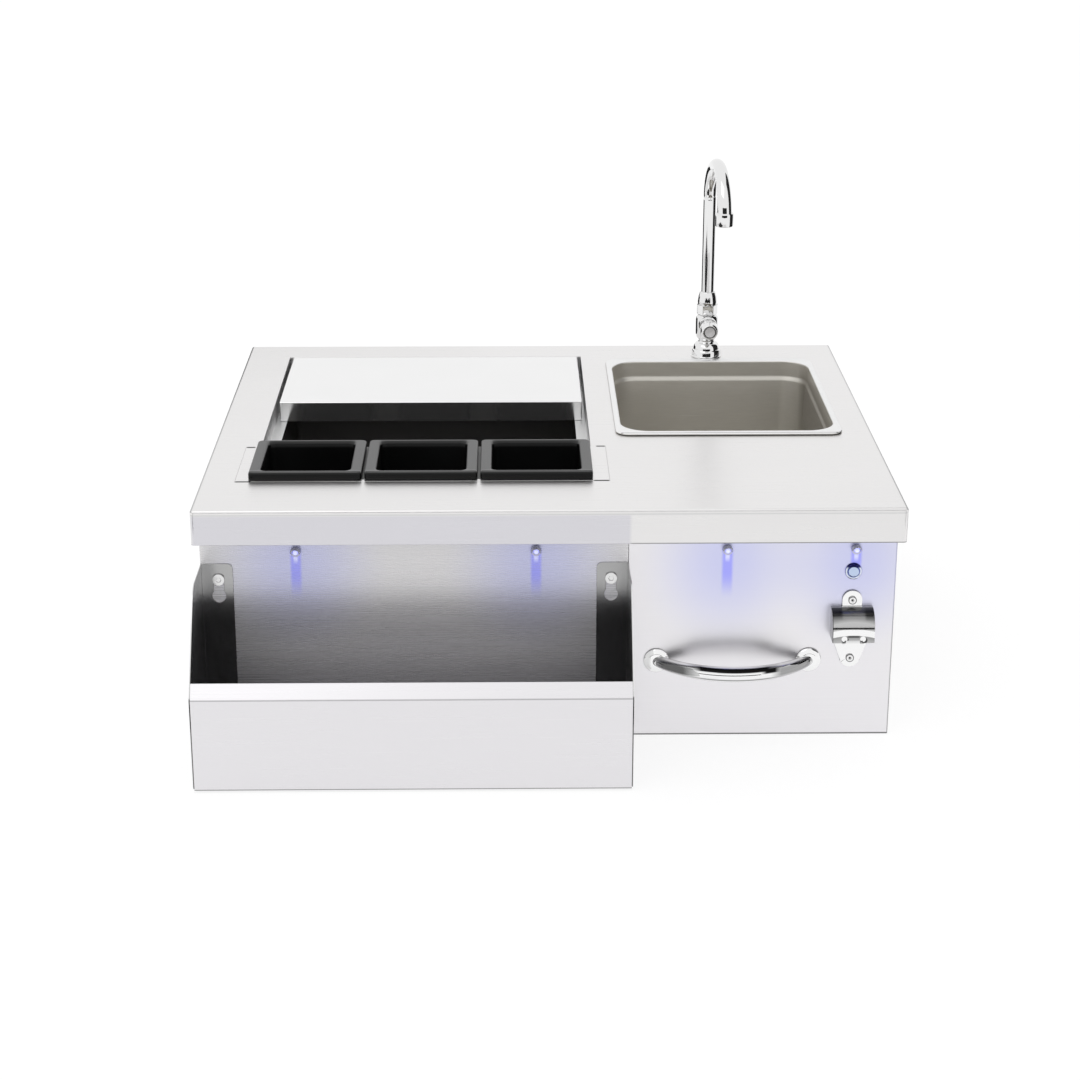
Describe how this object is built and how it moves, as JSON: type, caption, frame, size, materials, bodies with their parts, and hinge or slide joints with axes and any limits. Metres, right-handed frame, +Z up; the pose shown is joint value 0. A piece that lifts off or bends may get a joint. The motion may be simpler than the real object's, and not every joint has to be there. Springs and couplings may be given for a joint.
{
  "type": "bar sink with ice bin",
  "caption": "Drop-in stainless bar centre: small sink with gooseneck faucet, insulated ice bin with sliding lid, condiment trays, and a hanging speed rail.",
  "frame": {"origin": "on the plane the housing stands on, under the middle of the unit's bounding box", "axes": "+Z up; -Y towards the user, the side with the speed rail; +X to the user's right, the sink side"},
  "size_m": [0.762, 0.76, 0.546],
  "materials": {
    "brushed_top": "long fine brush lines, low sheen",
    "brushed_panel": "fine horizontal brush lines",
    "polished_steel": "near mirror",
    "plain_steel": "mill finish",
    "satin_bowl": "satin, drawn",
    "chrome": "polished plating",
    "screw_steel": "bright fasteners",
    "index_cap": "plain grey disc",
    "tray_plastic": "moulded, satin rims",
    "liner_plastic": "moulded, matt",
    "foam": "foamed insulation",
    "rubber": "soft black",
    "light_lens": "lit blue lens",
    "dark_plastic": "black housing"
  },
  "bodies": {
    "housing": {"countertop": "brushed_top", "front_panel_left": "brushed_panel", "front_panel_right": "brushed_panel", "side_panel_left": "brushed_panel", "side_panel_right": "brushed_panel", "rear_panel": "brushed_panel", "housing_screws": "screw_steel", "bin_collar": "plain_steel", "bin_liner": "liner_plastic", "bin_insulation": "foam", "bin_shell": "plain_steel", "bin_drain": "liner_plastic", "bin_drain_nut": "liner_plastic", "tray_plate": "brushed_top", "sink_bowl": "satin_bowl", "sink_gasket": "rubber", "sink_clips": "plain_steel", "drain_cup": "chrome", "drain_washer": "rubber", "drain_lock_nut": "plain_steel", "drain_tailpiece": "chrome", "drain_slip_nut": "chrome", "faucet_body": "chrome", "faucet_shank": "plain_steel", "faucet_nut": "plain_steel", "faucet_bonnet": "chrome", "spout_nut": "chrome", "light_hood_1": "chrome", "light_hood_2": "chrome", "light_hood_3": "chrome", "light_hood_4": "chrome", "light_lenses": "light_lens", "light_driver": "dark_plastic", "wiring_loom": "dark_plastic", "power_gland": "dark_plastic", "button_bezel": "chrome", "button_switch": "dark_plastic", "button_nut": "chrome", "bottle_opener": "chrome", "opener_screws": "screw_steel", "handle_bar": "chrome", "handle_rosettes": "chrome", "handle_screws": "screw_steel", "rail_hangers": "screw_steel"},
    "lid": {"lid_pan": "polished_steel", "lid_core": "foam", "lid_liner": "polished_steel"},
    "tray_1": {"tray_left": "tray_plastic"},
    "tray_2": {"tray_middle": "tray_plastic"},
    "tray_3": {"tray_right": "tray_plastic"},
    "rail": {"rail_trough": "brushed_panel", "rail_end_left": "polished_steel", "rail_end_right": "polished_steel"},
    "knob": {"faucet_stem": "plain_steel", "faucet_knob": "chrome", "faucet_knob_cap": "index_cap"},
    "gooseneck": {"spout": "chrome", "aerator": "chrome"},
    "button": {"button_cap": "chrome"},
    "basket": {"drain_basket": "plain_steel"}
  },
  "joints": [
    {"name": "lid_slide", "type": "slide", "parent": "housing", "child": "lid", "axis": [0, -1, 0], "range_m": [0, 0.175]},
    {"name": "tray_1_lift", "type": "slide", "parent": "housing", "child": "tray_1", "axis": [0, 0, 1], "range_m": [0, 0.105]},
    {"name": "tray_2_lift", "type": "slide", "parent": "housing", "child": "tray_2", "axis": [0, 0, 1], "range_m": [0, 0.105]},
    {"name": "tray_3_lift", "type": "slide", "parent": "housing", "child": "tray_3", "axis": [0, 0, 1], "range_m": [0, 0.105]},
    {"name": "rail_lift", "type": "slide", "parent": "housing", "child": "rail", "axis": [0, 0, 1], "range_m": [0, 0.019]},
    {"name": "knob_turn", "type": "hinge", "parent": "housing", "child": "knob", "pos_m": [0.214, 0.327, 0.324], "axis": [0, -1, 0], "range_deg": [0, 90]},
    {"name": "spout_swivel", "type": "hinge", "parent": "housing", "child": "gooseneck", "pos_m": [0.214, 0.327, 0.34], "axis": [0, 0, 1], "continuous": true},
    {"name": "button_press", "type": "slide", "parent": "housing", "child": "button", "axis": [0, 1, 0], "range_m": [0, 0.002], "stiffness_N_per_m": 600, "springref_m": -0.001},
    {"name": "basket_lift", "type": "slide", "parent": "housing", "child": "basket", "axis": [0, 0, 1], "range_m": [0, 0.19]}
  ]
}
